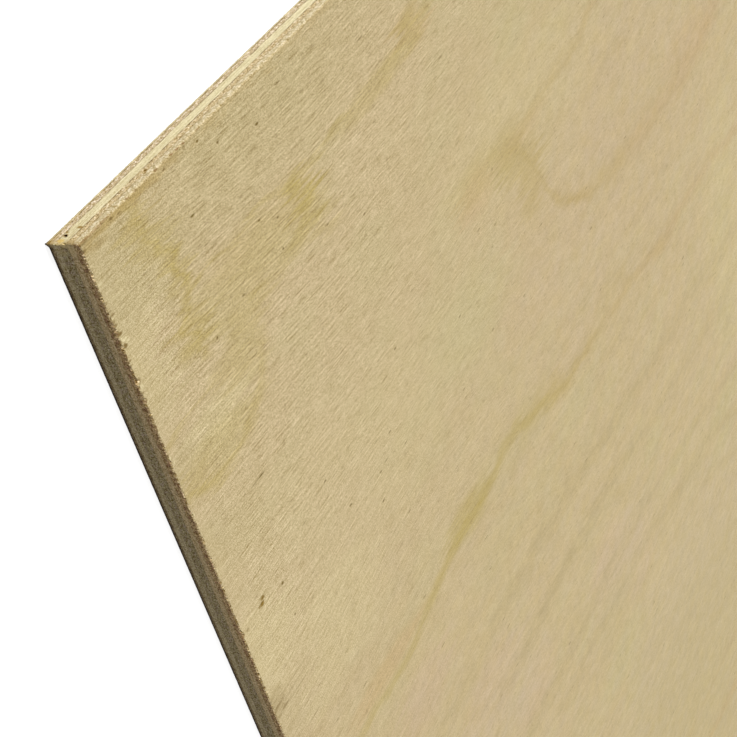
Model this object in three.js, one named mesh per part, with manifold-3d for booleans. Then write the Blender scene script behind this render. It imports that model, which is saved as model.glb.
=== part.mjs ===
// A sheet of five-ply birch plywood, lying flat with its sanded face up.
// Millimetres, +Z up. The origin is the middle of the underside, and the face
// grain runs along X, the length of the sheet.

import * as THREE from 'three';
import { mergeVertices } from 'three/addons/utils/BufferGeometryUtils.js';
import Module from 'manifold-3d';

const wasm = await Module();
wasm.setup();

// ---- Driving dimensions ----------------------------------------------------

const sheetLength = 1220; // along the face grain
const sheetWidth = 610; // across the face grain

// Each veneer's thickness. The grain of the crossbands runs across the sheet.
const backVeneerThickness = 0.75;
const lowerCrossbandThickness = 1.125;
const centreCoreThickness = 1.75;
const upperCrossbandThickness = 1.125;
const faceVeneerThickness = 1.25;

// The saw leaves the short edges of the outer veneers splintered, because it
// crosses their fibres there. The long edges only lose their sharp arris.
const splinterPitch = 1.5; // between two torn bundles of fibres
const splinterDepth = 0.4; // how far back from the cut most of them tear
const rippleLength = 5; // between two changes in the worn long arris
const rippleDepth = 0.16; // how much more than the least wear it loses
const arrisWear = 0.1; // the least that any arris has lost
const tearSteepness = 0.6; // a tear's drop down the edge for each mm back

// Larger chips in the face veneer, each by its edge, the distance of its middle
// from the end where that edge starts, its width along the edge and its depth.
const faceChips = [
  { edge: 'left', at: 16, width: 8, depth: 0.4 },
  { edge: 'left', at: 27, width: 7, depth: 0.3 },
  { edge: 'left', at: 80, width: 5, depth: 0.3 },
  { edge: 'back', at: sheetLength - 20, width: 24, depth: 0.2 },
];

const cutterMargin = 1; // how far a cutting solid stands clear of the sheet

// ---- Colours ---------------------------------------------------------------

const sandedBirch = 0xd0b98c; // pale face veneer
const endGrainBirch = 0xc3ac84; // crossbands, duller where their ends show
const coreBirch = 0xdfd0a4; // the palest layer

// ---- The sheet's edges -----------------------------------------------------

const left = -sheetLength / 2;
const right = sheetLength / 2;
const front = -sheetWidth / 2;
const back = sheetWidth / 2;

// Each edge starts at one corner, runs along the sheet to the next, and has the
// direction that points into the wood.
const edges = {
  left: { start: [left, back], along: [0, -1], inward: [1, 0], length: sheetWidth },
  front: { start: [left, front], along: [1, 0], inward: [0, 1], length: sheetLength },
  right: { start: [right, front], along: [0, 1], inward: [-1, 0], length: sheetWidth },
  back: { start: [right, back], along: [-1, 0], inward: [0, -1], length: sheetLength },
};

const crossesGrain = (name) => name === 'left' || name === 'right';

// A repeatable stream of numbers from 0 to 1.
function seededRandom(seed) {
  const multiplier = 16807;
  const modulus = 2147483647;
  let state = seed;
  return () => {
    state = (state * multiplier) % modulus;
    return state / modulus;
  };
}

// How much a chip adds to the tear at a distance along its edge: a rounded
// bite, deepest in the middle of its width.
function chipDepth(chip, distance) {
  const fromMiddle = Math.abs(distance - chip.at) / (chip.width / 2);
  return fromMiddle < 1 ? chip.depth * Math.cos((fromMiddle * Math.PI) / 2) ** 2 : 0;
}

// The torn arris of one edge, as stations from one end to the other. Each has
// its distance along the edge and how far the wood is torn back there.
function tornArris(name, chips, random) {
  const { length } = edges[name];
  const pitch = crossesGrain(name) ? splinterPitch : rippleLength;
  const extraDepth = crossesGrain(name) ? splinterDepth : rippleDepth;
  const count = Math.round(length / pitch);
  const chipsHere = chips.filter((chip) => chip.edge === name);
  return Array.from({ length: count + 1 }, (_, i) => {
    const distance = (length * i) / count;
    const bite = chipsHere.reduce((sum, chip) => sum + chipDepth(chip, distance), 0);
    return { distance, tear: arrisWear + extraDepth * random() ** 2 + bite };
  });
}

// ---- Solids ----------------------------------------------------------------

// A closed geometry as a solid that can be cut.
function solidFrom(geometry) {
  const bare = geometry.clone();
  bare.deleteAttribute('normal');
  bare.deleteAttribute('uv');
  const merged = mergeVertices(bare);
  return new wasm.Manifold(new wasm.Mesh({
    numProp: 3,
    vertProperties: new Float32Array(merged.attributes.position.array),
    triVerts: new Uint32Array(merged.index.array),
  }));
}

function geometryFrom(solid) {
  const { vertProperties, triVerts } = solid.getMesh();
  const geometry = new THREE.BufferGeometry();
  geometry.setAttribute('position', new THREE.BufferAttribute(vertProperties, 3));
  geometry.setIndex(new THREE.BufferAttribute(triVerts, 1));
  geometry.computeVertexNormals();
  return geometry;
}

// A whole veneer between two levels. Both heights are written into the vertices,
// so that two veneers that meet share exactly the same plane.
function veneerBlank(bottom, top) {
  const blank = new THREE.BoxGeometry(sheetLength, sheetWidth, 1);
  const position = blank.attributes.position;
  for (let i = 0; i < position.count; i += 1) {
    position.setZ(i, position.getZ(i) < 0 ? bottom : top);
  }
  return blank;
}

// The solid that takes the torn wood off one edge of a veneer. Its section is
// the corner outside the tear, lofted along the edge from station to station.
// side is 1 for a face on top and -1 for one underneath.
function tearCutter(name, stations, faceLevel, side) {
  const { start, along, inward } = edges[name];
  const beforeStart = { distance: -cutterMargin, tear: stations[0].tear };
  const pastEnd = { distance: edges[name].length + cutterMargin, tear: stations.at(-1).tear };
  const rings = [beforeStart, ...stations.slice(1, -1), pastEnd].map(({ distance, tear }) => {
    const drop = tear * tearSteepness;
    const section = [ // distance in from the cut, height above the face
      [tear, 0],
      [tear, cutterMargin],
      [-cutterMargin, cutterMargin],
      [-cutterMargin, -drop],
      [0, -drop],
    ];
    return section.map(([depth, height]) => [
      start[0] + along[0] * distance + inward[0] * depth,
      start[1] + along[1] * distance + inward[1] * depth,
      faceLevel + side * height,
    ]);
  });
  const corners = rings[0].length;
  const triangles = [];
  for (let ring = 0; ring < rings.length - 1; ring += 1) {
    for (let corner = 0; corner < corners; corner += 1) {
      const here = ring * corners + corner;
      const next = ring * corners + ((corner + 1) % corners);
      triangles.push([here, next, next + corners], [here, next + corners, here + corners]);
    }
  }
  const last = (rings.length - 1) * corners;
  for (let corner = 1; corner < corners - 1; corner += 1) {
    triangles.push([0, corner + 1, corner], [last, last + corner, last + corner + 1]);
  }
  if (side < 0) triangles.forEach((triangle) => triangle.reverse());
  const cutter = new THREE.BufferGeometry();
  cutter.setAttribute('position', new THREE.Float32BufferAttribute(rings.flat(2), 3));
  cutter.setIndex(triangles.flat());
  return cutter;
}

// An outer veneer: its face is sanded flat, and torn all the way round where it
// meets the sawn edges. glueLevel is the height of its glued side.
function outerVeneer(glueLevel, faceLevel, chips, seed) {
  const side = Math.sign(faceLevel - glueLevel);
  const random = seededRandom(seed);
  let veneer = solidFrom(veneerBlank(Math.min(glueLevel, faceLevel), Math.max(glueLevel, faceLevel)));
  for (const name of Object.keys(edges)) {
    const stations = tornArris(name, chips, random);
    veneer = veneer.subtract(solidFrom(tearCutter(name, stations, faceLevel, side)));
  }
  return geometryFrom(veneer);
}

// ---- Lay-up ----------------------------------------------------------------

const glueLine1 = backVeneerThickness;
const glueLine2 = glueLine1 + lowerCrossbandThickness;
const glueLine3 = glueLine2 + centreCoreThickness;
const glueLine4 = glueLine3 + upperCrossbandThickness;
const faceLevel = glueLine4 + faceVeneerThickness;
const backLevel = 0;

const sheet = new THREE.Group();

function addPly(name, geometry, color) {
  const material = new THREE.MeshStandardMaterial({ color, roughness: 0.7, metalness: 0 });
  material.flatShading = true;
  const ply = new THREE.Mesh(geometry, material);
  ply.name = name;
  sheet.add(ply);
}

addPly('back_veneer', outerVeneer(glueLine1, backLevel, [], 4177), sandedBirch);
addPly('lower_crossband', veneerBlank(glueLine1, glueLine2), endGrainBirch);
addPly('centre_core', veneerBlank(glueLine2, glueLine3), coreBirch);
addPly('upper_crossband', veneerBlank(glueLine3, glueLine4), endGrainBirch);
addPly('face_veneer', outerVeneer(glueLine4, faceLevel, faceChips, 9241), sandedBirch);

export default sheet;
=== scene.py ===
import math

import bpy
from mathutils import Matrix, Vector


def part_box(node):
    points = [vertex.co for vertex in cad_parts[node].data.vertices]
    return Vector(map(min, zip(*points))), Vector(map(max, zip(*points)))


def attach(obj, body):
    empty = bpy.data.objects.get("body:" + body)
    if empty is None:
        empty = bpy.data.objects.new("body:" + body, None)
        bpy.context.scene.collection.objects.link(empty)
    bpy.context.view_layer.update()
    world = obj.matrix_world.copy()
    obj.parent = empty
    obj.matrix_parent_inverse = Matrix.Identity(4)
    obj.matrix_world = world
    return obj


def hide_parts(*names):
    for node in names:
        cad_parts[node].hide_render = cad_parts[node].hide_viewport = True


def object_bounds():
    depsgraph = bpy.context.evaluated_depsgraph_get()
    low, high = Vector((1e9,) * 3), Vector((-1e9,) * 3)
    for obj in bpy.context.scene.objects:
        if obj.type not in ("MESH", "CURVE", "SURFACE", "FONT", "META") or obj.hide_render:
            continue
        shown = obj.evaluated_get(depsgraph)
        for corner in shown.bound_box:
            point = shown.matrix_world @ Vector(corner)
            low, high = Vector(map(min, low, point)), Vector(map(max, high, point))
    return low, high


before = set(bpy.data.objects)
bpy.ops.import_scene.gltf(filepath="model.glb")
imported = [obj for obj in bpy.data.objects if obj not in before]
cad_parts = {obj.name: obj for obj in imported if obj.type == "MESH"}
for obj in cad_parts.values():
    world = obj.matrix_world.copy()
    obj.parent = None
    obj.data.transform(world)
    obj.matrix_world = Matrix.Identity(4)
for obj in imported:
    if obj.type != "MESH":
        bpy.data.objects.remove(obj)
cadLow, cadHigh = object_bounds()

mm = 0.001
sheetLength = (cadHigh.x - cadLow.x) / mm
sheetWidth = (cadHigh.y - cadLow.y) / mm
halfLength, halfWidth = sheetLength / 2, sheetWidth / 2
nearCorner = Vector((cadLow.x, cadHigh.y, 0))  # the corner that the camera stands over


def linearColor(hexCode):
    channels = [int(hexCode[i:i + 2], 16) / 255 for i in (1, 3, 5)]
    return [c / 12.92 if c <= 0.04045 else ((c + 0.055) / 1.055) ** 2.4 for c in channels] + [1]


# The kinds of node that come up most: the type and its settings, and if they aren't all from
# the first on, the inputs that a list goes to and the output that is asked for.
nodeKinds = {
    "join": ("ShaderNodeCombineXYZ", {}), "split": ("ShaderNodeSeparateXYZ", {}),
    "noise": ("ShaderNodeTexNoise", {}), "cells": ("ShaderNodeTexVoronoi", {}),
    "range": ("ShaderNodeMapRange", {}),  # value, from low, from high, to low, to high
    "smoothRange": ("ShaderNodeMapRange", {"interpolation_type": "SMOOTHSTEP"}),
    "mix": ("ShaderNodeMix", {}, (0, 2, 3), 0),  # share, value where it is 0, value where it is 1
    "mixColours": ("ShaderNodeMix", {"data_type": "RGBA"}, (0, 6, 7), 2),
    "attribute": ("GeometryNodeInputNamedAttribute", {}),
    "store": ("GeometryNodeStoreNamedAttribute", {}), "sample": ("GeometryNodeSampleIndex", {}),
    "move": ("GeometryNodeSetPosition", {}), "dress": ("GeometryNodeSetMaterial", {}),
    "random": ("FunctionNodeRandomValue", {}),
    "vector scale": ("ShaderNodeVectorMath", {"operation": "SCALE"}, (0, 3), 0),
}
for operation in ("add", "subtract", "multiply", "divide", "multiply_add", "power", "minimum",
                  "maximum", "absolute", "floor", "fract", "modulo", "less_than", "greater_than"):
    nodeKinds[operation] = "ShaderNodeMath", {"operation": operation.upper()}
for operation, output in (("add", 0), ("multiply", 0), ("multiply_add", 0), ("maximum", 0),
                          ("length", 1), ("distance", 1)):
    nodeKinds["vector " + operation] = (
        "ShaderNodeVectorMath", {"operation": operation.upper()}, (0, 1, 2), output)


# Adds one node with its settings and links, and gives back the output that is asked for. The
# inputs are a list, or go by the sockets' names or numbers.
def addNode(tree, kind, inputs=(), output=None, **settings):
    kind, usualSettings, sockets, usualOutput = (*nodeKinds.get(kind, (kind, {})), range(9), 0)[:4]
    node = tree.nodes.new(kind)
    for name, value in {**usualSettings, **settings}.items():
        setattr(node, name, value)
    for key, value in inputs.items() if isinstance(inputs, dict) else zip(sockets, inputs):
        if isinstance(value, bpy.types.NodeSocket):
            tree.links.new(value, node.inputs[key])
        elif value is not None:
            isHex = isinstance(value, str) and value.startswith("#")
            node.inputs[key].default_value = linearColor(value) if isHex else value
    return node.outputs[usualOutput if output is None else output] if len(node.outputs) else node


# Starts a Geometry Nodes tree that takes the named inputs of each kind and gives one shape.
def startGeometry(name, labels, result):
    tree = bpy.data.node_groups.new(name, "GeometryNodeTree")
    for kind, names in labels.items():
        for label in names:
            tree.interface.new_socket(label, in_out="INPUT", socket_type="NodeSocket" + kind)
    tree.interface.new_socket(result, in_out="OUTPUT", socket_type="NodeSocketGeometry")
    return tree, tree.nodes.new("NodeGroupInput").outputs


# Gives a material or the world an empty tree.
def startShading(owner):
    owner.use_nodes = True
    owner.node_tree.nodes.clear()
    return owner.node_tree


# Runs a tree on a mesh with the given inputs and keeps the result as a plain mesh.
def grow(name, mesh, tree, values):
    draft = bpy.data.objects.new(name + "Draft", mesh)
    bpy.context.scene.collection.objects.link(draft)
    modifier = draft.modifiers.new("grow", "NODES")
    modifier.node_group = tree
    identifiers = {item.name: item.identifier for item in tree.interface.items_tree
                   if item.in_out == "INPUT"}
    for label, value in values.items():
        modifier[identifiers[label]] = value
    evaluated = draft.evaluated_get(bpy.context.evaluated_depsgraph_get())
    grown = bpy.data.meshes.new_from_object(evaluated)
    grown.name = name
    draft.modifiers.clear()
    bpy.data.objects.remove(draft)
    piece = bpy.data.objects.new(name, grown)
    bpy.context.scene.collection.objects.link(piece)
    grown.calc_loop_triangles()
    print("grown:", name, len(grown.loop_triangles), "triangles")
    return piece


# The outline of the sawn sheet.
outlineSizes = {
    "cornerRadius": 0.35,  # how far the saw and handling have blunted the corners
    "cornerSteps": 5,
    "fineEndStretch": 112,  # stretch of the end cut from the near corner that is seen close up
    "fineSideStretch": 72,  # the same along the side cut
    "finePitch": 0.13,
    "coarsePitch": 0.8,
    "coarseningRate": 0.006,  # how much the pitch grows for each mm past the fine stretch
    "wholeReach": 9, "wholeness": 0.3,  # how far from the corner less is torn off, and how much
    "lipReach": 1.3,  # how far down the end cut the splinter left at the near corner goes
    "lipLength": 0.72,  # how far it stands out of the end cut
    "lipTaper": 1.4,
    "tearOuts": [  # flakes that the saw pulled off the end cut: how far from the near corner,
        # half their width and how deep they are
        (5.5, 0.9, 0.12), (15.6, 0.7, 0.26), (18.2, 0.6, 0.26), (24.5, 0.8, 0.3), (28.3, 0.6, 0.2),
        (41, 0.7, 0.16), (57.5, 0.9, 0.16), (80, 1, 0.3)],
}


# Distances from the start of a straight edge, close together where it is seen close up.
def stationsAlong(length, fineStretch):
    pitch = outlineSizes["finePitch" if fineStretch else "coarsePitch"]
    distances = [0]
    while distances[-1] < length:
        past = max(0, distances[-1] - fineStretch)
        distances.append(distances[-1] + min(
            outlineSizes["coarsePitch"], pitch + outlineSizes["coarseningRate"] * past))
    return [d * length / distances[-1] for d in distances]


# How far the end cut is torn back (less than 0: how much of it is left whole) at a distance
# from the near corner.
def flakeDepth(distance):
    torn = max(deep * (1 - ((distance - at) / half) ** 2)
               for at, half, deep in outlineSizes["tearOuts"])
    fromStart = distance - outlineSizes["cornerRadius"]
    whole = min(0, fromStart / outlineSizes["wholeReach"] - 1) * outlineSizes["wholeness"]
    return torn if torn > 0 else whole


# The outline as one many-sided face, anticlockwise, with the way into the wood at each point.
def makeOutline():
    radius = outlineSizes["cornerRadius"]
    endStretch, sideStretch = outlineSizes["fineEndStretch"], outlineSizes["fineSideStretch"]
    legs = [  # start, direction, length, fine stretch at the start, fine stretch at the end
        (Vector((-halfLength, halfWidth)), Vector((0, -1)), sheetWidth, endStretch, 0),
        (Vector((-halfLength, -halfWidth)), Vector((1, 0)), sheetLength, 0, 0),
        (Vector((halfLength, -halfWidth)), Vector((0, 1)), sheetWidth, 0, 0),
        (Vector((halfLength, halfWidth)), Vector((-1, 0)), sheetLength, 0, sideStretch),
    ]
    points, inwards, flakes = [], [], []
    for start, along, length, fineAtStart, fineAtEnd in legs:
        inward = Vector((-along.y, along.x))
        straight = length - 2 * radius
        stations = stationsAlong(straight, fineAtStart or fineAtEnd)
        if fineAtEnd:
            stations = [straight - d for d in reversed(stations)]
        for distance in stations:
            points.append(start + along * (radius + distance))
            inwards.append(inward)
            flakes.append(flakeDepth(distance + radius) if fineAtStart else 0)
        centre = start + along * (length - radius) + inward * radius
        for step in range(1, outlineSizes["cornerSteps"]):
            turn = Matrix.Rotation(math.pi / 2 * step / outlineSizes["cornerSteps"], 2)
            inwards.append(turn @ inward)
            points.append(centre - inwards[-1] * radius)
            flakes.append(0)
    lips = [max(0, 1 - (p - legs[0][0]).length / outlineSizes["lipReach"]) for p in points]
    lips = [-outlineSizes["lipLength"] * lip ** outlineSizes["lipTaper"] for lip in lips]
    mesh = bpy.data.meshes.new("outline")
    mesh.from_pydata([(p.x * mm, p.y * mm, 0) for p in points], [], [range(len(points))])
    for name, kind, field, values in (
            ("inward", "FLOAT_VECTOR", "vector", [c for i in inwards for c in (i.x, i.y, 0)]),
            ("flake", "FLOAT", "value", flakes),
            ("lip", "FLOAT_VECTOR", "vector", [c for lip in lips for c in (lip, 0, 0)])):
        mesh.attributes.new(name, kind, "POINT").data.foreach_set(field, values)
    return mesh


# One ply, sawn all round.
plySizes = {
    "sawRelief": 0.035,  # how rough the saw leaves the wood
    "sawNoise": (0.9, 3.6),  # waves to the mm
    "endGrainPits": 0.14,  # how deep the pores and torn cells of the end grain go
    "pitNoise": 2.8, "pitRange": (0.54, 0.72),
    "splinterWidth": 0.42,
    "splinterTear": 0.18,  # how far the fibres tear back where the saw crosses them
    "slowNoise": 0.4, "slowShare": (0.3, 0.7, 0.15, 1),  # it tears more in some places
    "flakeTear": 1.0,
    "flakeRagged": (0.6, 0.7),  # how much the depth of a flake varies, and its least share
    "lipTop": 3.3,  # how high up the edge the splinter at the near corner reaches
    "lipWhole": 0.55,  # the share of that up to which it is whole
    "sliverLength": 1.2,
    "sliverTear": 0.24,  # how far slivers have come off the arris along the grain
    "sliverWhole": 0.45, "crumbleShare": (0.3, 0.7, 0, 1),  # some whole, the rest in crumbs
    "bundleChance": 2.0, "sliverChance": 1.6,  # the higher, the fewer have come off far
    "wearRagged": (0.2, 0.92),  # the same for the wear of an arris
    "pinHole": (1.54, 0, 2.33),  # a borer's hole in the side cut, in mm from the near corner
    "pinHoleRadius": 0.2,
    "pinHoleDepth": 0.9,
    "rowCrowding": 1.7,  # the rows crowd towards the face
    "levelFrom": 0.999,  # facets that lie as level as this belong to the face
    "weld": 0.001,  # points closer than this are one
    "seedStep": 31.0, "seedShift": 7.0,  # they set the plies' patterns apart, up and along
}


# Wraps the outline round a wall of rows, closes it above and below, and presses the
# marks of the saw into the wall.
def makePlyTree():
    tree, given = startGeometry("sawnPly", {
        "Geometry": ["Outline"], "Int": ["Rows"], "Vector": ["Pin Hole"],
        "Material": ["Edge Finish", "Face Finish"],
        "Float": ["Bottom", "Top", "Row Crowding", "Face Up", "Has Face", "Grain Along Sheet",
                  "Saw Relief", "End Grain Pits", "Torn Drop", "Splinter Width", "Splinter Tear",
                  "Flake Tear", "End Wear", "Side Wear", "Bevel Drop", "Lip Whole", "Lip Top",
                  "Sliver Length", "Sliver Tear", "Pin Hole Radius", "Pin Hole Depth", "Seed"],
    }, "Ply")

    # the wall: one column of the grid for each point of the outline, and the first one again
    stations = addNode(tree, "GeometryNodeAttributeDomainSize", {"Geometry": given["Outline"]})
    columns = addNode(tree, "add", [stations, 1.0])
    rowPoints = addNode(tree, "add", [given["Rows"], 1.0])
    wall = addNode(tree, "GeometryNodeMeshGrid", {"Vertices X": columns, "Vertices Y": rowPoints})
    index = addNode(tree, "GeometryNodeInputIndex")
    column = addNode(tree, "divide", [index, rowPoints])
    column = addNode(tree, "floor", [column])
    station = addNode(tree, "modulo", [column, stations])
    row = addNode(tree, "modulo", [index, rowPoints])
    share = addNode(tree, "divide", [row, given["Rows"]])
    crowdedDown = addNode(tree, "power", [share, given["Row Crowding"]])
    left = addNode(tree, "subtract", [1.0, share])
    crowdedUp = addNode(tree, "power", [left, given["Row Crowding"]])
    crowdedUp = addNode(tree, "subtract", [1.0, crowdedUp])
    eased = addNode(tree, "mix", [given["Face Up"], crowdedDown, crowdedUp])
    height = addNode(tree, "range", [eased, None, None, given["Bottom"], given["Top"]])
    raised = addNode(tree, "join", {"Z": height})

    # each point of the wall takes its place and what else it needs from the outline
    position = addNode(tree, "GeometryNodeInputPosition")
    wallPlace = addNode(tree, "sample", {"Geometry": given["Outline"], "Value": position,
                                         "Index": station}, data_type="FLOAT_VECTOR")
    wallPlace = addNode(tree, "vector add", [wallPlace, raised])
    carried = []
    for name, kind in (("inward", "FLOAT_VECTOR"), ("flake", "FLOAT"), ("lip", "FLOAT_VECTOR")):
        carried.append(addNode(tree, "attribute", {"Name": name}, data_type=kind))
        sampled = addNode(tree, "sample", {"Geometry": given["Outline"], "Value": carried[-1],
                                           "Index": station}, data_type=kind)
        wall = addNode(tree, "store", {"Geometry": wall, "Name": name, "Value": sampled},
                       data_type=kind)
    inward, flake, lip = carried
    parts = [addNode(tree, "move", {"Geometry": wall, "Position": wallPlace})]
    for end in ("Top", "Bottom"):
        raised = addNode(tree, "join", {"Z": given[end]})
        parts.append(addNode(tree, "move", {"Geometry": given["Outline"], "Offset": raised}))
    parts[-1] = addNode(tree, "GeometryNodeFlipFaces", {"Mesh": parts[-1]})
    joined = addNode(tree, "GeometryNodeJoinGeometry")
    for part in parts:
        tree.links.new(part, joined.node.inputs[0])
    shell = addNode(tree, "GeometryNodeMergeByDistance", {
        "Geometry": joined, "Distance": plySizes["weld"] * mm})

    # where a point is, in mm, and which way its cut crosses the wood
    place = addNode(tree, "vector scale", [position, 1 / mm])
    seeded = addNode(tree, "join", {"Z": given["Seed"]})
    place = addNode(tree, "vector add", [place, seeded])
    endCut = addNode(tree, "split", [inward])
    endCut = addNode(tree, "absolute", [endCut])
    sideCut = addNode(tree, "subtract", [1.0, endCut])
    endGrain = addNode(tree, "mix", [given["Grain Along Sheet"], sideCut, endCut])
    x, y, _ = addNode(tree, "split", [place]).node.outputs
    along = addNode(tree, "mix", [endCut, x, y])
    along = addNode(tree, "multiply_add", [given["Seed"], plySizes["seedShift"], along])

    # the saw's own roughness, and the pits that it pulls in the end grain
    coarse, fine = [addNode(tree, "noise", {"Vector": place, "Scale": scale, "Detail": 1.0})
                    for scale in plySizes["sawNoise"]]
    roughness = addNode(tree, "add", [coarse, fine])
    roughness = addNode(tree, "add", [roughness, -1.0])
    saw = addNode(tree, "multiply", [roughness, given["Saw Relief"]])
    pits = addNode(tree, "noise", {"Vector": place, "Scale": plySizes["pitNoise"], "Detail": 2.0})
    pits = addNode(tree, "smoothRange", [
        pits, *plySizes["pitRange"], 0.0, given["End Grain Pits"]])
    pits = addNode(tree, "multiply", [pits, endGrain])
    relief = addNode(tree, "add", [saw, pits])

    # the tearing at the face: bundles of fibres broken off short across the grain, slivers
    # lifted off along it
    lengths, chances = [], []
    for size, chance in (("Splinter Width", "bundleChance"), ("Sliver Length", "sliverChance")):
        lengths.append(addNode(tree, "divide", [along, given[size]]))
        cell = addNode(tree, "cells", {"W": lengths[-1], "Scale": 1.0}, "Color",
                       voronoi_dimensions="1D")
        cell = addNode(tree, "split", [cell])
        chances.append(addNode(tree, "power", [cell, plySizes[chance]]))
    bundle, sliver = chances
    slow = addNode(tree, "noise", {"W": along, "Scale": plySizes["slowNoise"], "Detail": 2.0},
                   noise_dimensions="1D")
    slow = addNode(tree, "range", [slow, *plySizes["slowShare"]])
    splinter = addNode(tree, "multiply", [bundle, slow])
    splinter = addNode(tree, "multiply", [splinter, given["Splinter Tear"]])
    ragged = addNode(tree, "multiply_add", [bundle, *plySizes["flakeRagged"]])
    flaked = addNode(tree, "multiply", [flake, given["Flake Tear"]])
    flaked = addNode(tree, "multiply", [flaked, ragged])
    acrossTear = addNode(tree, "add", [splinter, flaked])
    acrossTear = addNode(tree, "maximum", [acrossTear, 0.0])
    crumble = addNode(tree, "noise", {"W": lengths[-1], "Scale": 2.0, "Detail": 4.0},
                      noise_dimensions="1D")
    crumble = addNode(tree, "range", [crumble, *plySizes["crumbleShare"]])
    sliver = addNode(tree, "multiply_add", [sliver, plySizes["sliverWhole"], crumble])
    sliverTear = addNode(tree, "multiply", [sliver, given["Sliver Tear"]])
    tear = addNode(tree, "mix", [endCut, sliverTear, acrossTear])
    tear = addNode(tree, "multiply", [tear, given["Has Face"]])

    # it fades with the depth under the face, and so does the wear of the arris
    faceLevel = addNode(tree, "mix", [given["Face Up"], given["Bottom"], given["Top"]])
    level = addNode(tree, "split", [position], output="Z")
    below = addNode(tree, "subtract", [faceLevel, level])
    below = addNode(tree, "absolute", [below])
    fade = addNode(tree, "smoothRange", [below, None, given["Torn Drop"], 1.0, 0.0])
    tear = addNode(tree, "multiply", [tear, fade])
    wear = addNode(tree, "mix", [endCut, given["Side Wear"], given["End Wear"]])
    worn = addNode(tree, "multiply_add", [bundle, *plySizes["wearRagged"]])
    wear = addNode(tree, "multiply", [wear, worn])
    bevel = addNode(tree, "range", [below, None, given["Bevel Drop"], wear, 0.0])
    relief = addNode(tree, "add", [relief, bevel])
    depth = addNode(tree, "add", [relief, tear])
    fromHole = addNode(tree, "vector distance", [position, given["Pin Hole"]])
    inHole = addNode(tree, "less_than", [fromHole, given["Pin Hole Radius"]])
    depth = addNode(tree, "multiply_add", [inHole, given["Pin Hole Depth"], depth])
    depth = addNode(tree, "multiply", [depth, mm])
    shift = addNode(tree, "vector scale", [inward, depth])
    lipShare = addNode(tree, "smoothRange", [level, given["Lip Whole"], given["Lip Top"], mm, 0.0])
    lipped = addNode(tree, "vector scale", [lip, lipShare])
    shift = addNode(tree, "vector add", [shift, lipped])
    cut = addNode(tree, "move", {"Geometry": shell, "Offset": shift})
    cut = addNode(tree, "GeometryNodeSetShadeSmooth", {"Geometry": cut, "Shade Smooth": False})

    real = addNode(tree, "GeometryNodeRealizeInstances", {"Geometry": cut})
    finished = addNode(tree, "dress", {"Geometry": real, "Material": given["Edge Finish"]})
    facing = addNode(tree, "split", [addNode(tree, "GeometryNodeInputNormal")], "Z")
    facing = addNode(tree, "absolute", [facing])
    isFace = addNode(tree, "greater_than", [facing, plySizes["levelFrom"]])
    finished = addNode(tree, "dress", {
        "Geometry": finished, "Selection": isFace, "Material": given["Face Finish"]})
    addNode(tree, "NodeGroupOutput", {"Ply": finished})
    return tree


# All of the wood.
woodSizes = {
    "shadingTint": (0.88, 1.0, 1.4),  # how strongly red, green and blue go with the brightness
    "darkest": (0.02, 0.02, 0.02),  # the least brightness
    "markFade": (0.04, 1.15),  # from where to where a mark fades, as squared shares of its size
}


# Turns the object's own coordinates into mm on the sheet: u along it and v across it, both
# from the near corner, and w up from the floor.
def addPlace(tree):
    own = addNode(tree, "ShaderNodeTexCoord", output="Object")
    return addNode(tree, "ShaderNodeMapping", {
        "Vector": own, "Scale": (1 / mm, -1 / mm, 1 / mm),
        "Location": (-nearCorner.x / mm, nearCorner.y / mm, 0)})


# How far a place is from the nearer end cut and from the nearer side cut.
def addCutDistances(tree, along, across):
    distances = []
    for measure, size in ((along, sheetLength), (across, sheetWidth)):
        other = addNode(tree, "subtract", [size, measure])
        distances.append(addNode(tree, "minimum", [other, measure]))
    return distances


# Streaks as long and as wide as wood fibres or bundles of them, between 0 and 1 and 0.5 on the
# whole.
def addStreaks(tree, place, length, width, depth=None, detail=1.0):
    shrink = (1 / length, 1 / width, 1 / (depth or width))
    drawnOut = addNode(tree, "vector multiply", [place, shrink])
    return addNode(tree, "noise", {"Vector": drawnOut, "Scale": 1.0, "Detail": detail})


# Sums streaks of several sizes into a brightness round 1. A layer can swing otherwise on the
# open face, away from the corner, where openness is 1.
def addBrightness(tree, place, layers, openness=None):
    brightness = 1.0
    for layer in layers:
        streaks = addStreaks(tree, place, *layer["size"], detail=layer.get("detail", 1.0))
        streaks = addNode(tree, "add", [streaks, -0.5])
        swing = layer["swing"]
        if openness:
            swing = addNode(tree, "mix", [openness, swing, layer["open"]])
        brightness = addNode(tree, "multiply_add", [streaks, swing, brightness])
    return brightness


# Shades a colour by a brightness. The dark fibres are also browner and the light ones
# creamier, so blue changes more than red.
def addShading(tree, colour, brightness):
    swing = addNode(tree, "add", [brightness, -1.0])
    tinted = addNode(tree, "vector scale", [woodSizes["shadingTint"], swing])
    tinted = addNode(tree, "vector add", [tinted, (1, 1, 1)])
    tinted = addNode(tree, "vector maximum", [tinted, woodSizes["darkest"]])
    return addNode(tree, "vector multiply", [colour, tinted])


# How far a place is into small spots strewn over the wood: at most one in a cell, with a size
# by chance, and strongest in its middle.
def addStrewnSpots(tree, place, spots):
    shrink = [*(1 / size for size in spots["cell"]), 0][:3]
    cells = addNode(tree, "vector multiply", [place, shrink])
    away = addNode(tree, "cells", {"Vector": cells, "Scale": 1.0},
                   voronoi_dimensions=str(len(spots["cell"])) + "D")
    chance = addNode(tree, "ShaderNodeSeparateColor", [away.node.outputs["Color"]])
    size = addNode(tree, "range", [chance, *spots["sizes"]])
    away = addNode(tree, "subtract", [away, size])
    return addNode(tree, "range", [away, *spots["strengths"]])


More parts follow.
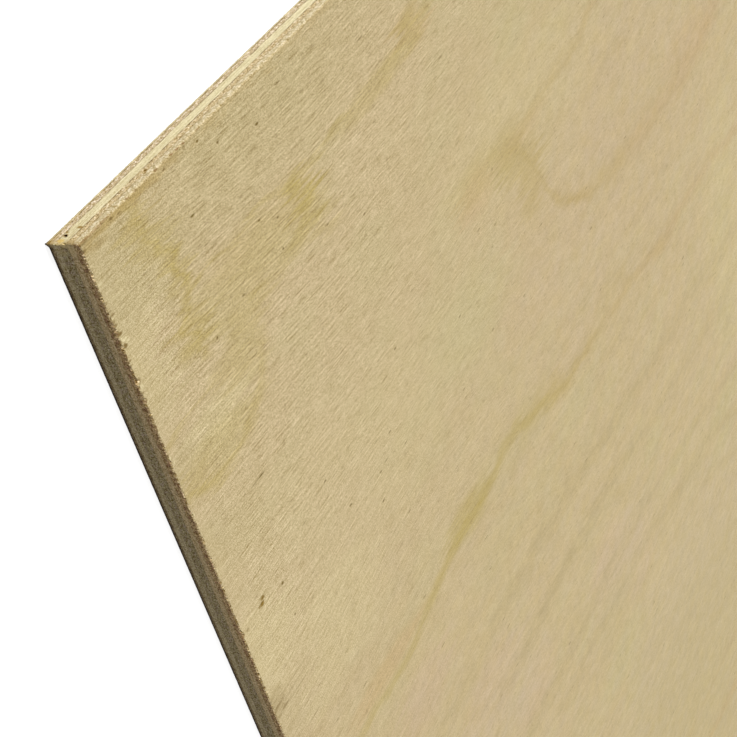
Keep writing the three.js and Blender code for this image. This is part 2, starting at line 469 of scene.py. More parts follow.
# How far a place is into the strongest of several oval marks: the mark's strength in its
# middle and 0 outside. A mark is how far along and across it lies, half its size each way,
# and its strength. Each vector works on three marks at a time.
def addMarks(tree, place, marks):
    spread = [addNode(tree, "join", [c, c, c])
              for c in addNode(tree, "split", [place]).node.outputs[:2]]
    fadeFrom, fadeTo = woodSizes["markFade"]
    strongest = None
    for first in range(0, len(marks), 3):
        three = [marks[min(first + step, len(marks) - 1)] for step in range(3)]
        offsets = []
        for axis in (0, 1):
            shrink = [1 / mark[axis + 2] for mark in three]
            shift = [-mark[axis] / mark[axis + 2] for mark in three]
            offsets.append(addNode(tree, "vector multiply_add", [spread[axis], shrink, shift]))
        away = addNode(tree, "vector multiply", [offsets[0], offsets[0]])
        away = addNode(tree, "vector multiply_add", [offsets[1], offsets[1], away])
        strength = addNode(tree, "smoothRange", {
            "Vector": away, 7: [fadeFrom] * 3, 8: [fadeTo] * 3, 9: [mark[4] for mark in three],
            10: [0] * 3}, "Vector", data_type="FLOAT_VECTOR")
        if strongest is not None:
            strength = addNode(tree, "vector maximum", [strongest, strength])
        strongest = strength
    ends = addNode(tree, "split", [strongest]).node.outputs
    stronger = addNode(tree, "maximum", ends[:2])
    return addNode(tree, "maximum", [stronger, ends[2]])


# Puts marks over a colour, each list of them in its own shade. Gives back the new colour and
# how strong the last list is.
def addShades(tree, colour, place, marksOfShades, shades):
    marked = None
    for shade, marks in marksOfShades.items():
        marked = addMarks(tree, place, marks)
        colour = addNode(tree, "mixColours", [marked, colour, shades[shade]])
    return colour, marked


# How dark one growth line makes a place, which is given in shares of the drawn reach. The
# line runs through its points: how far along, how far across, half its width there and how
# dark it is.
def addGrowthLine(tree, along, across, points):
    reach = figureSizes["reach"]
    course = addNode(tree, "ShaderNodeRGBCurve", {"Color": along})
    mapping = course.node.mapping
    mapping.extend = "HORIZONTAL"
    for channel, scale in enumerate((reach, reach, 1)):
        curve = mapping.curves[channel]
        while len(curve.points) < len(points):
            curve.points.new(0.5, 0.5)
        for point, drawn in zip(curve.points, points):
            point.location = (drawn[0] / reach, drawn[channel + 1] / scale)
            point.handle_type = "AUTO_CLAMPED"
    mapping.update()
    middle, half, dark = addNode(tree, "ShaderNodeSeparateColor", [course]).node.outputs[:3]
    away = addNode(tree, "subtract", [across, middle])
    away = addNode(tree, "absolute", [away])
    away = addNode(tree, "divide", [away, half])
    return addNode(tree, "smoothRange", [away, None, None, dark, 0.0])


# The darkest of several growth lines, and of what is there already.
def addGrowthLines(tree, along, across, lines, strongest=None):
    along, across = [addNode(tree, "divide", [c, figureSizes["reach"]]) for c in (along, across)]
    for points in lines:
        line = addGrowthLine(tree, along, across, points)
        strongest = line if strongest is None else addNode(tree, "maximum", [strongest, line])
    return strongest


# The figure near the corner, in mm from it.
figureSizes = {
    "reach": 300.0,  # how far from the corner the drawn figure goes before the rest takes over
    "pastEnd": (280, 330, 0, 1), "pastSide": (300, 330, 0, 1),  # where rings take over from it
    "fray": 5.0, "frayFibres": (11, 1.3),  # how far the fibres carry a line's colour across
    "wobble": 4.0, "wobbleSize": (10, 8),  # how far the lines waver
    "bleed": 25.0, "bleedFibres": (24, 0.8),  # how far the fibres carry a stain's colour along
    "ringSpacing": 24.0,
    "ringSway": 3.2, "ringField": (330, 120),
    "ringBand": (0.02, 0.12, 1, 0),  # half the width of a ring, as a share of the spacing
    "ringFading": (140, 60), "ringStrength": (0.35, 0.65, 0, 0.8),
    "lineFibres": (5, 0.4), "lineStrength": (0.3, 0.7, 0.65, 1.15),
    "broken": (0.35, 0.6, 0.4, 1),  # the grey lines are broken up
}

# Each growth line goes through its points: along the sheet, across it, half the line's width
# and how dark it is.
ochreLines = [
    [(14, 130, 3, .3), (24, 130, 2.2, .56), (45, 129, 2.2, .62), (55, 126.6, 2.8, .7),
     (65, 124, 4, .85), (72, 122.6, 5, 1), (80, 123, 4.6, 1), (85, 122.3, 3, .85),
     (92, 119.9, 3.2, .68), (99, 119.7, 3.8, .7), (104, 121.9, 3.8, .75), (110, 124, 4, .82),
     (117, 126, 4, .82), (126, 127.6, 3.8, .72), (140, 128.6, 3.6, .6), (158, 130, 3.6, .45),
     (176, 131, 4, .45), (195, 134.5, 4.4, .5), (212, 133.6, 4.5, .4), (240, 134.5, 4.5, .35),
     (262, 138, 4, .3), (295, 138, 3, 0)],
    [(88, 54, 2, 0), (96, 56.5, 3, .15), (103, 58.5, 3.2, .2), (110, 57, 4.4, .35),
     (118, 58.5, 5.4, .6), (125, 62, 6, .7), (130, 68, 6, .65), (134, 76, 4.5, .55),
     (139, 84, 3, .5), (145, 88.5, 2.8, .7), (153, 91.5, 3.4, .6), (162, 94, 5, .42),
     (175, 96.5, 6, .5), (195, 97, 6.5, .45), (215, 98.5, 6, .4), (235, 97.5, 6, .4),
     (262, 93, 5, .35), (290, 91, 3, 0)],
    [(112, 57, 2, 0), (122, 58.6, 3.4, .35), (132, 58.6, 3.4, .4), (145, 57.2, 3.2, .35),
     (160, 56, 3.2, .35), (172, 53, 3.4, .45), (200, 47, 2.5, 0)],
    [(14, 19, 1, 0), (19, 19.4, 1, .7), (40, 20, 1, .5), (58, 20.3, 1.2, .6), (75, 19.8, 1.8, .5),
     (88, 19.2, 2.4, .6), (100, 16.5, 2.6, .5), (125, 14, 2, .2), (150, 13, 2, 0)],
    [(9, 28, 1.6, 0), (14, 28.5, 2.8, .8), (20, 29.6, 2.8, .55), (26, 31, 2.8, .3),
     (31, 31, 2.4, .7), (37, 31, 2.8, .32), (46, 29.8, 3, .7), (53, 28.4, 2.4, .45),
     (60, 27, 1.6, 0)],
    [(0, 47.5, 3, .4), (3, 49.8, 2.6, .75), (7, 50.6, 2.4, .75), (14, 50, 2.6, .6),
     (20, 48.6, 2.8, .6), (24, 46.4, 2.8, .5), (27, 44, 2.4, 0)],
    [(0, 38.6, 1.2, .4), (8, 37, 1.2, .45), (18, 36.3, 1.2, .4), (24, 38, 1.2, 0)],
]
ochreLoops = [  # these run across the sheet, so the first two numbers change places
    [(0, 11.5, 2.2, .7), (6, 12, 2.6, .75), (12, 14, 2.4, .85), (17, 16.6, 2.2, .9),
     (21, 15.6, 2.4, .75), (25, 13.6, 2.2, .9), (29, 14.6, 2, .8), (33, 16, 2, 0)],
    [(29, 25, 3, 0), (33, 26.8, 3.4, .36), (38, 28, 3.2, .42), (42, 27.2, 3.2, .45),
     (46, 24.8, 3.2, .45), (49, 21.5, 3, .4), (52, 17, 2.6, 0)],
]
greyLines = [
    [(30, 159, 4, 0), (48, 158.3, 5, .6), (60, 157.6, 5.5, .7), (90, 155.5, 5.5, .8),
     (120, 156.5, 5, .9), (145, 159, 5, .75), (170, 162, 5, .65), (200, 163, 6, .6),
     (235, 166, 6, .45), (290, 168, 5, 0)],
    [(60, 173, 3, 0), (78, 175, 4, .5), (92, 174.5, 4.5, .75), (110, 173, 4.5, .85),
     (130, 174, 4.5, .7), (150, 176, 5, .65), (180, 179, 6, .5), (220, 183, 6, .4),
     (280, 185, 4, 0)],
    [(60, 197, 3, 0), (80, 199, 4, .6), (110, 198, 4.5, .5), (150, 198.5, 4, .55),
     (170, 202, 4, .3), (195, 206, 4, .5), (225, 211, 4, .6), (260, 216, 3, 0)],
    [(85, 208, 2, 0), (98, 210, 4.5, .65), (112, 209, 5, .6), (135, 212, 4, .3),
     (150, 210, 4, .2), (165, 214, 5, .55), (185, 217, 5.5, .7), (210, 220, 5, .6),
     (228, 227, 4.5, .5), (250, 232, 3, 0)],
    [(85, 221, 2, 0), (100, 221, 3.2, .4), (118, 221, 3.2, .4), (140, 222, 3.2, .2),
     (170, 227, 3, .2), (195, 231, 3.2, .5), (215, 236, 4, .5), (228, 242, 3, .5),
     (270, 246, 3, 0)],
]

# Marks on the face: how far along and how far across, half the size each way, how strong.
stains = [  # where a growth line lies flat in the veneer and spreads
    (12, 5, 3.5, 8, .55), (15.2, 14, 3, 7, .6), (14.8, 25.4, 3.8, 4, .7), (34, 25.2, 22, 7, .4),
    (27, 32.5, 8, 5, .45), (50.5, 21.8, 4.2, 3.4, .9), (49.6, 25.6, 5.2, 3.4, 1),
    (50, 29.4, 4, 2.6, .8), (54, 33, 5, 3, .35), (95, 16, 6.5, 3.6, .66), (91, 19.4, 8, 2.6, .6),
    (76, 20.8, 16, 2.8, .4), (105, 57, 13, 6, .3), (122, 61, 10, 8, .55), (129, 71, 8, 12, .55),
    (36, 126, 20, 4.5, .16), (73, 121, 12, 5, .65), (112, 123, 16, 5, .35),
    (160, 124, 14, 6, .25), (232, 93, 26, 7, .15), (180, 98, 22, 5, .3), (2, 47, 4.5, 4, .5),
    (23, 38, 7, 6, .4), (12, 46.5, 14, 4.5, .35), (12.7, 3.8, .9, 1, .9),
]
patches = {  # broad patches of another tone
    "pale": [(3, 18, 7.5, 22, .6), (15, 43, 10, 5.6, .6), (5, 88, 12, 14, .9),
             (13, 111, 6, 6, .5), (24, 101, 20, 16, .75), (30, 82, 50, 26, .3),
             (136, 56, 50, 18, .35), (246, 160, 24, 52, .45)],
    "green": [(92, 82, 24, 13, .9), (130, 138, 18, 8, .6), (132, 37, 10, 7, .7),
              (130, 232, 18, 10, .8), (170, 185, 10, 5, .7), (112, 204, 10, 5, .6),
              (184, 206, 20, 5, .6), (232, 219, 24, 8, .9), (222, 230, 20, 6, .8),
              (238, 190, 12, 16, .6), (134, 250, 8, 16, .5), (240, 160, 10, 12, .5)],
    "rosy": [(42, 144, 14, 10, .72), (66, 172, 18, 13, .72), (82, 190, 16, 11, .65),
             (132, 194, 16, 11, .72), (146, 206, 14, 10, .65), (185, 92, 95, 46, .3),
             (150, 216, 16, 8, .4), (112, 86, 10, 16, .1), (40, 96, 16, 12, .12),
             (185, 288, 24, 9, .4), (20, 94, 36, 32, .2), (36, 62, 26, 12, .15)],
    "warm": [(95, 17, 9, 5, .45), (105, 60, 12, 6, .4), (32, 126, 18, 3.8, .5),
             (12.8, 3.8, 1, 1, .8), (232, 91, 26, 9, .16), (128, 60, 20, 3, .25)],
    "cool": [(182, 264, 70, 44, .6), (70, 180, 30, 16, .4), (140, 202, 30, 14, .5)],
    "dull": [(40, 8, 44, 13, .6), (12, 64, 16, 7, .25), (100, 127, 16, 4.5, .35),
             (175, 325, 150, 92, .72), (4, 8, 14, 12, .7), (132, 212, 24, 9, .4)],
}
nearMarks = {
    "fleck": [  # the darkest of the pith flecks and stained pores
        (17.5, 59.2, 1.25, .25, .9), (16, 59.2, 1.9, .24, .4), (19, 31, .38, .26, .95),
        (28, 29.3, .51, .26, .82), (40.9, 29.2, .38, .26, .93), (54.2, 33.4, .38, .26, .82),
        (13.2, 81, .51, .37, 1), (13.4, 89.2, .38, .26, .85), (32.3, 74.2, .54, .26, .8),
        (37, 84.6, .54, .26, .9), (48.4, 86.6, .54, .26, .8), (46.6, 92.6, .59, .26, .8),
        (54.6, 81.7, .68, .26, .7), (58.5, 88, .68, .26, .58), (63.4, 68.2, .54, .26, .85),
        (65.4, 38.7, .61, .26, .76), (88, 79, .68, .26, .7), (83, 94.5, .68, .26, .37),
        (99.5, 91.3, .61, .35, .48), (115.5, 94, .68, .35, .42), (109.5, 70.8, .68, .31, .42),
        (106.5, 74.5, .68, .26, .48), (53.5, 102, .68, .26, .58), (14, 119.6, .68, .35, .42),
        (33.7, 4.4, .42, .26, .93), (44, 7.3, .68, .26, 1), (23, 10.7, .68, .26, 1),
        (29.4, 1.6, .42, .26, 1), (37.3, 21.2, .42, .26, 1), (42, 23.7, .42, .26, .9),
        (113, 59.3, .61, .44, .42)],
    "knot": [(7.5, 78.7, .75, .5, .95), (6.9, 79.6, .85, .62, 1), (6.1, 79.6, .5, .4, .7)],
}
rimMarks = {
    "smudge": [(.8, 97.6, 1.3, .4, .5), (1.2, 98.9, 1.2, .34, .55), (1.4, 100.4, 1.7, .42, .8),
               (3, 102.2, 1.8, .36, .7), (2.7, 100.4, 1.2, .3, .5), (.9, 102.6, 1, .4, .5),
               (.3, 100.8, 1, .6, .6), (1.5, 99.8, 3, 4, .25), (7, 101, 9, .35, .25),
               (6, 99.4, 7, .3, .25), (3.2, 97.6, 1.4, .3, .4), (8, 102.4, 7, .3, .2)],
    "olive": [  # darker olive spots along the arris of the side
        (9, .5, 10, 1.2, .55), (17, .7, 8, 1, .45), (3.5, 2.2, 3, .8, .35),
        (33.5, .8, 3.5, .7, .35), (2, 0, 3.2, .4, .8), (23, .9, 4, .6, .3)],
    # the gaps are painted shade: dark brown where bits have come off the arrises, standing in for
    # the shade in those notches
    "gapShade": [  # where bits have come off the arrises of the end and the side
        (.1, 8.6, .45, .33, .72), (.3, 10.4, .52, .33, .6), (.3, 11.9, .65, .26, .48),
        (.6, 12.6, .78, .29, .72), (.3, 13.7, .52, .39, .72), (.4, 14.4, .52, .39, .72),
        (.2, 15.6, .52, .45, .96), (.6, 16, .72, .36, 1), (.1, 17, .33, .39, .72),
        (.7, 18.2, .65, .52, 1), (0, 19.6, .26, .78, .84), (.3, 20.8, .59, .26, .72),
        (.2, 21.6, .52, .26, .6), (.1, 22.7, .39, .39, .6), (0, 23.8, .33, .39, .84),
        (.5, 24.6, .65, .65, .6), (.2, 26.8, .52, .26, .6), (.3, 28.3, .39, .45, .84),
        (.1, 29.9, .33, .91, .6), (.1, 31.5, .26, .65, .6), (0, 33.3, .33, .52, .84),
        (.1, 34, .26, .26, .6), (0, 36.9, .26, .39, .84), (0, 39.3, .26, .39, .6),
        (0, 42.8, .26, .39, .6), (.2, 80.2, .45, .65, .72), (1.6, 80.4, .52, .39, .6),
        (1.2, .1, 1.82, .18, .84), (3.2, .15, 1.04, .16, .6), (7.2, .6, .59, .33, .96),
        (9, .9, .65, .2, .6), (11.5, .05, .39, .18, .84), (13.6, .1, .39, .16, .6),
        (19, .1, .59, .21, .84), (20.6, 1, .52, .26, .72), (23.2, 0, .45, .26, .96),
        (24.7, 0, .65, .22, .96), (26.2, 0, .52, .22, .84), (26.2, .7, .45, .45, .6),
        (30.3, .1, .52, .18, .72), (5, .05, 3, .3, .6), (.9, .4, .9, .25, .7),
        (.3, 1.4, .65, .33, .84), (3.7, 2.1, 1.4, .45, .25)],
    "torn": [  # pale fibres the saw has lifted at the end
        (1.1, 17.3, .8, .3, .9), (1.4, 17.9, .6, .3, .8), (.6, 16.9, .5, .4, .6),
        (.7, 7.3, .6, .4, .6), (.4, 13.2, .5, .3, .5), (-.1, 24, .3, .35, 1),
        (-.1, 24.7, .3, .3, 1), (.2, 40, .35, .5, .8), (.8, 41.1, .4, .3, .6),
        (.1, 35.6, .4, .4, .5), (.6, 25.9, .5, .6, .5), (.2, 52, .4, .6, .6)],
}


# Rotary-cut birch, sanded: pale cream with a tight silky grain of short fibres, fine brown
# pores, soft ochre growth lines and a few pith flecks. It is almost matt.
faceSizes = {
    "wood": "#C4B084", "rosy": "#C6AE8A", "green": "#C2B284", "pale": "#CCBB8B", "warm": "#C5A67A",
    "cool": "#C4B18C", "dull": "#BCAA7C", "ochre": "#B29D5B", "russet": "#BA9A6C",
    # gapShade is painted shade, for the notches at the arrises and the gaps between the torn fibres
    "smudge": "#86703E", "grey": "#B8A476", "olive": "#AF965B", "torn": "#E0D1A2", "gapShade": "#7E6630",
    "pore": "#8F7750", "fleck": "#6E5812", "knot": "#80640A",
    "grain": [
        {"size": (5, 0.3), "swing": 0.38, "open": 0.06, "detail": 0},
        {"size": (0.19, 0.17), "swing": 1.3, "open": 0.2, "detail": 0},
        {"size": (0.5, 0.5), "swing": 0, "open": 0.28, "detail": 0},
        {"size": (12, 0.8), "swing": 0.02, "open": 0.12},
        {"size": (3, 0.8), "swing": 0, "open": 0.2}, {"size": (30, 2), "swing": 0.02, "open": 0.08},
        {"size": (50, 8), "swing": 0.06, "open": 0.08},
        {"size": (3, 2.2), "swing": 0, "open": 0.16}, {"size": (8, 6), "swing": 0, "open": 0.12},
    ],
    "openFace": (75, 180, 0, 1),  # how far from the corner the grain blends into a finer one
    "openEnd": (1, 8, 0.4, 0),  # it is like that at the very end as well
    "strands": (5.5, 0.24),  # single fibres that show crisply
    "darkStrands": (0.26, 0.4, -0.24, 0), "lightStrands": (0.6, 0.74, 0, 0.21),
    "fibres": (5, 0.3),  # how long and wide the fibres are that stand proud
    "relief": 0.03,  # how far they stand proud
    "sway": 3.0, "swaySize": (60, 45),  # how far the grain wanders
    "bend": (35, 112, -3, 6.5),  # how far it bends across, by how far across it is
    "bendRise": (0, 58, 0, 1), "bendFall": (58, 150, 1, 0),  # and how much of that, going along
    "tone": (90, 30), "toneShare": (0.3, 0.7, 0, 0.25),  # broad changes between wood and rosy
    "patch": (16, 9), "patchShare": (0.45, 0.65, 0, 0.4),  # green patches
    "redder": (110, 230, 0, 1),  # the lines turn from ochre to russet along the sheet
    "mottle": (5, 3.6),
    "mottleTint": (-0.03, 0.0, 0.25),  # the open face wavers between cream and grey
    "fading": (80, 190, 0, -0.04),  # the sheet is a little darker far from the corner
    "pores": {"cell": (3.2, 0.36), "sizes": (0.6, 1, 0, 0.3), "strengths": (-0.12, 0, 0.5, 0)},
    "pith": {"cell": (26, 4), "sizes": (0.5, 1, 0, 0.04), "strengths": (-0.015, 0.004, 0.7, 0)},
    "roughness": 0.68,
    "oliveBand": (4, 1.2), "oliveBandReach": -9.0, "oliveBandRim": (-4.6, -2.4),  # dull side rims
    "oliveBandStrength": (12, 30, 0.7, 0.3),
    "fringes": [  # what the saw has torn at the end rims, and what it has left open
        {"shade": "torn", "size": (1.4, 0.25), "reach": -3.0, "strength": 0.6},
        # the second fringe is painted shade: the shadows that the torn fibres cast into the gaps
        # between them
        {"shade": "gapShade", "size": (1.6, 0.35), "reach": 4.0, "strength": 0.32}],
    "fringeFade": (-0.6, 0.4),
    "fleckZone": 122.0, "endZone": 17.0, "sideZone": 6.0,  # how far the zones of small marks reach
}


def makeSandedFace(name, drawn):
    material = bpy.data.materials.new(name)
    tree = startShading(material)
    place = addPlace(tree)
    along, across, _ = addNode(tree, "split", [place]).node.outputs

    # the grain wanders, and bends round the figure near the corner
    bend = addNode(tree, "smoothRange", [across, *faceSizes["bend"]])
    for part in ("bendRise", "bendFall"):
        share = addNode(tree, "smoothRange", [along, *faceSizes[part]])
        bend = addNode(tree, "multiply", [bend, share])
    sway = addStreaks(tree, place, *faceSizes["swaySize"])
    sway = addNode(tree, "multiply_add", [sway, faceSizes["sway"], bend if drawn else 0.0])
    swayed = addNode(tree, "join", {"Y": sway})
    grainPlace = addNode(tree, "vector add", [place, swayed])
    fromCorner = addNode(tree, "vector length", [place])
    openness = addNode(tree, "range", [fromCorner, *faceSizes["openFace"]])
    atEnd = addNode(tree, "range", [along, *faceSizes["openEnd"]])
    openness = addNode(tree, "maximum", [openness, atEnd])
    brightness = addBrightness(tree, grainPlace, faceSizes["grain"], openness)
    strand = addStreaks(tree, grainPlace, *faceSizes["strands"], detail=0.0)
    strand = addNode(tree, "add", [addNode(tree, "range", [strand, *faceSizes["darkStrands"]]),
                                   addNode(tree, "range", [strand, *faceSizes["lightStrands"]])])
    nearness = addNode(tree, "subtract", [1.0, openness])
    brightness = addNode(tree, "multiply_add", [strand, nearness, brightness])
    if drawn:
        fading = addNode(tree, "range", [fromCorner, *faceSizes["fading"]])
        brightness = addNode(tree, "add", [brightness, fading])

    # growth lines: the drawn ones, and rings that follow a wandering field past them
    fray = addStreaks(tree, grainPlace, *figureSizes["frayFibres"], detail=3.0)
    frayed = addNode(tree, "multiply_add", [fray, figureSizes["fray"], across])
    wobble = addStreaks(tree, place, *figureSizes["wobbleSize"])
    frayed = addNode(tree, "multiply_add", [wobble, figureSizes["wobble"], frayed])
    frayed = addNode(tree, "add", [frayed, -(figureSizes["fray"] + figureSizes["wobble"]) / 2])
    field = addStreaks(tree, place, *figureSizes["ringField"])
    field = addNode(tree, "multiply", [field, figureSizes["ringSway"]])
    ring = addNode(tree, "multiply_add", [frayed, 1 / figureSizes["ringSpacing"], field])
    ring = addNode(tree, "fract", [ring])
    ring = addNode(tree, "add", [ring, -0.5])
    ring = addNode(tree, "absolute", [ring])
    ring = addNode(tree, "smoothRange", [ring, *figureSizes["ringBand"]])
    ringStrength = addStreaks(tree, place, *figureSizes["ringFading"])
    ringStrength = addNode(tree, "range", [ringStrength, *figureSizes["ringStrength"]])
    ochre = addNode(tree, "multiply", [ring, ringStrength])
    if drawn:
        pastEnd = addNode(tree, "range", [along, *figureSizes["pastEnd"]])
        pastSide = addNode(tree, "range", [across, *figureSizes["pastSide"]])
        outside = addNode(tree, "maximum", [pastEnd, pastSide])
        ochre = addNode(tree, "multiply", [ochre, outside])
        ochre = addGrowthLines(tree, along, frayed, ochreLines, ochre)
        frayedAlong = addNode(tree, "multiply_add", [fray, 2 * figureSizes["fray"], along])
        frayedAlong = addNode(tree, "add", [frayedAlong, -figureSizes["fray"]])
        ochre = addGrowthLines(tree, across, frayedAlong, ochreLoops, ochre)
        grey = addGrowthLines(tree, along, frayed, greyLines)
        bleed = addStreaks(tree, grainPlace, *figureSizes["bleedFibres"], detail=2.0)
        bleed = addNode(tree, "multiply_add", [
            bleed, figureSizes["bleed"], -figureSizes["bleed"] / 2])
        bled = addNode(tree, "join", {"X": bleed})
        bled = addNode(tree, "vector add", [place, bled])
        stained = addMarks(tree, bled, stains)
        ochre = addNode(tree, "maximum", [ochre, stained])
    lineGrain = addStreaks(tree, grainPlace, *figureSizes["lineFibres"])
    lineGrain = addNode(tree, "range", [lineGrain, *figureSizes["lineStrength"]])
    ochre = addNode(tree, "multiply", [ochre, lineGrain])

    # broad changes of tone
    colour = faceSizes["wood"]
    for part, shade in (("tone", "rosy"), ("patch", "green")):
        share = addStreaks(tree, place, *faceSizes[part])
        share = addNode(tree, "range", [share, *faceSizes[part + "Share"]])
        colour = addNode(tree, "mixColours", [share, colour, faceSizes[shade]])
    if drawn:
        colour, _ = addShades(tree, colour, bled, patches, faceSizes)
    redder = addNode(tree, "range", [along, *faceSizes["redder"]])
    lineColour = addNode(tree, "mixColours", [redder, faceSizes["ochre"], faceSizes["russet"]])
    colour = addNode(tree, "mixColours", [ochre, colour, lineColour])
    mottle = addStreaks(tree, place, *faceSizes["mottle"], detail=2.0)
    if drawn:
        broken = addNode(tree, "range", [mottle, *figureSizes["broken"]])
        grey = addNode(tree, "multiply", [grey, broken])
        colour = addNode(tree, "mixColours", [grey, colour, faceSizes["grey"]])
    mottle = addNode(tree, "add", [mottle, -0.5])
    mottle = addNode(tree, "multiply", [mottle, openness])
    mottle = addNode(tree, "vector scale", [faceSizes["mottleTint"], mottle])
    mottle = addNode(tree, "vector add", [mottle, (1, 1, 1)])
    colour = addNode(tree, "vector multiply", [colour, mottle])

    # pores, drawn wider than the real 0.08 mm so that they show, and flecks of old pith
    for spots, shade in (("pores", "pore"), ("pith", "fleck")):
        share = addStrewnSpots(tree, grainPlace, faceSizes[spots])
        colour = addNode(tree, "mixColours", [share, colour, faceSizes[shade]])
    fibres = addStreaks(tree, grainPlace, *faceSizes["fibres"])
    bump = addNode(tree, "ShaderNodeBump", {
        "Height": fibres, "Distance": faceSizes["relief"] * mm})

    # small marks are only worked out in the zone that they lie in: the rims, the part near the
    # corner, or the open face
    def addZone(colour, marksOfShades):
        if drawn:
            colour, _ = addShades(tree, colour, place, marksOfShades, faceSizes)
        shaded = addShading(tree, colour, brightness)
        return addNode(tree, "ShaderNodeBsdfPrincipled", {
            "Base Color": shaded, "Roughness": faceSizes["roughness"], "Normal": bump})

    shader = addZone(colour, {})
    if drawn:
        nearShader = addZone(colour, nearMarks)
        farther = addNode(tree, "maximum", [along, across])
        isNear = addNode(tree, "less_than", [farther, faceSizes["fleckZone"]])
        shader = addNode(tree, "ShaderNodeMixShader", [isNear, shader, nearShader])

    # the rims: a darker olive band along the side cuts, torn pale where the saw crossed the grain,
    # and painted shade in the gaps between the torn fibres at the ends
    fromEnd, fromSide = addCutDistances(tree, along, across)
    rim = addStreaks(tree, place, *faceSizes["oliveBand"], detail=2.0)
    rim = addNode(tree, "multiply_add", [rim, faceSizes["oliveBandReach"], fromSide])
    rimStrength = addNode(tree, "range", [fromEnd, *faceSizes["oliveBandStrength"]])
    rim = addNode(tree, "smoothRange", [rim, *faceSizes["oliveBandRim"], rimStrength, 0.0])
    colour = addNode(tree, "mixColours", [rim, colour, faceSizes["olive"]])
    for fringe in faceSizes["fringes"]:
        share = addStreaks(tree, place, *fringe["size"], detail=2.0)
        share = addNode(tree, "multiply_add", [share, fringe["reach"], fromEnd])
        ends = [0.5 * fringe["reach"] + end for end in faceSizes["fringeFade"]]
        share = addNode(tree, "smoothRange", [share, *ends, fringe["strength"], 0.0])
        colour = addNode(tree, "mixColours", [share, colour, faceSizes[fringe["shade"]]])
    rimShader = addZone(colour, {**nearMarks, **rimMarks})
    endShare = addNode(tree, "multiply", [fromEnd, 1 / faceSizes["endZone"]])
    sideShare = addNode(tree, "multiply", [fromSide, 1 / faceSizes["sideZone"]])
    share = addNode(tree, "minimum", [endShare, sideShare])
    isRim = addNode(tree, "less_than", [share, 1.0])
    shader = addNode(tree, "ShaderNodeMixShader", [isRim, shader, rimShader])
    addNode(tree, "ShaderNodeOutputMaterial", {"Surface": shader})
    return material


# The sawn edge of one ply. Along the grain it is smooth and streaked; across it the open
# ends of the fibres drink the light and leave a speckle of cream, tan and dark pits.
edgeSizes = {
    # holeShade is painted shade: near black inside the borer's hole and a pit
    "glue": "#66502A", "pit": "#5E4628", "holeShade": "#140600", "halo": "#84561C", "bead": "#CBAA58",
    # chipShade is painted shade where the notches of the face reach the edge
    "knot": "#86661C", "bare": "#E8CE92", "worn": "#9C8350", "chipShade": "#8A6C44",
    "endContrast": 1.4,  # how much stronger the grain shows on the end cuts
    "paling": (22, 62, 0, 0.07),  # the side cut is a little brighter away from the corner
    "roughness": 0.85, "specular": 0.3, "relief": 0.03,
    "endGrain": [{"size": (0.26, 0.26), "swing": 2.3}, {"size": (0.6, 0.6, 0.4), "swing": 1.2},
                 {"size": (1.8, 1.8, 0.5), "swing": 0.6}],
    "longGrain": [{"size": (3.5, 3.5, 0.15), "swing": 1.2}, {"size": (13, 13, 0.4), "swing": 0.6},
                  {"size": (0.4, 0.4, 0.3), "swing": 0.9}],
    "blotches": (0.8, 0.8, 0.6), "blotchShare": (0.46, 0.62, 0, 0.75),  # of a second colour
    "hairs": (0.42, 0.42, 1.05),  # bundles of torn fibres that hang over the end cut
    "pits": {"cell": (0.7, 0.7, 0.45), "sizes": (0.5, 1, 0, 0.4), "strengths": (-0.25, 0, 0.75, 0)},
    "glueFade": (0.057, 0.19),  # how far from its middle a glue line starts to fade, and ends
    "glueGaps": (2.2, 2.2, 0.6), "glueShare": (0.4, 0.55, 0, 1),  # it comes and goes
    "endGlue": 0.15,  # it hardly shows on the end cuts
    "markDepth": 5.0,  # how far in from a near cut a place still counts as part of it
    "notchDrop": 0.1, "notchSunk": 0.3,  # how far down a notch of the face lies, and half its most
    "notchReach": 0.5,  # one that lies further in on the face doesn't show
}
cornerMarks = {  # round the near corner: along the side cut (or less than 0, along the end cut),
    # up from the floor, half the size each way, how strong; the last are holes without sheen
    "bare": [(-.5, 3.1, .55, 1.3, .75), (-1, 4.1, 1.2, .9, .45), (-1.6, 2.2, .9, 1, .3)],
    "worn": [(.25, 4.5, .8, 1.9, .58), (.5, 1.1, 1.1, .8, .5), (1.8, 3.3, 1.7, .3, .35),
             (5, .6, 6, .7, .26), (-.3, 1, .75, .9, .7)],
    "bead": [(.3, 2.4, .55, .75, .8), (-.1, 3.3, .3, .4, .5)],
    "halo": [(1.6, 2.34, .42, .5, .9)],
    "knot": [(3.8, 3.25, .42, .6, .9), (18.6, 4.35, .5, .34, 1), (18, 4.75, .36, .2, .8),
             (17.3, 5.1, .3, .2, .5), (9.3, 5.4, .2, .5, .6), (5.4, 4.5, .4, .22, .6),
             (2.35, 2, .24, .28, .9), (13, .8, .4, .25, .7), (-.3, .85, .75, .18, .9)],
    # painted shade inside the borer's hole and in a pit, where the sheen is taken off as well
    "holeShade": [(1.42, 2.5, .32, .3, 1), (1.64, 2.24, .28, .3, 1), (18.65, 4.35, .26, .18, .75)],
}


# A notch of the face as it shows on the edge, painted as shade: along the side cut, or less than 0
# along the end cut, and up from the floor.
def edgeNotch(notch, top):
    along, across, halfAlong, halfAcross, strength = notch
    place, half, deep = along, halfAlong, halfAcross
    if along < across:  # it is on the end cut
        place, half, deep = -across, halfAcross, halfAlong
    shown = strength if min(along, across) < edgeSizes["notchReach"] else 0
    return place, top - edgeSizes["notchDrop"], half, min(deep, edgeSizes["notchSunk"]), shown


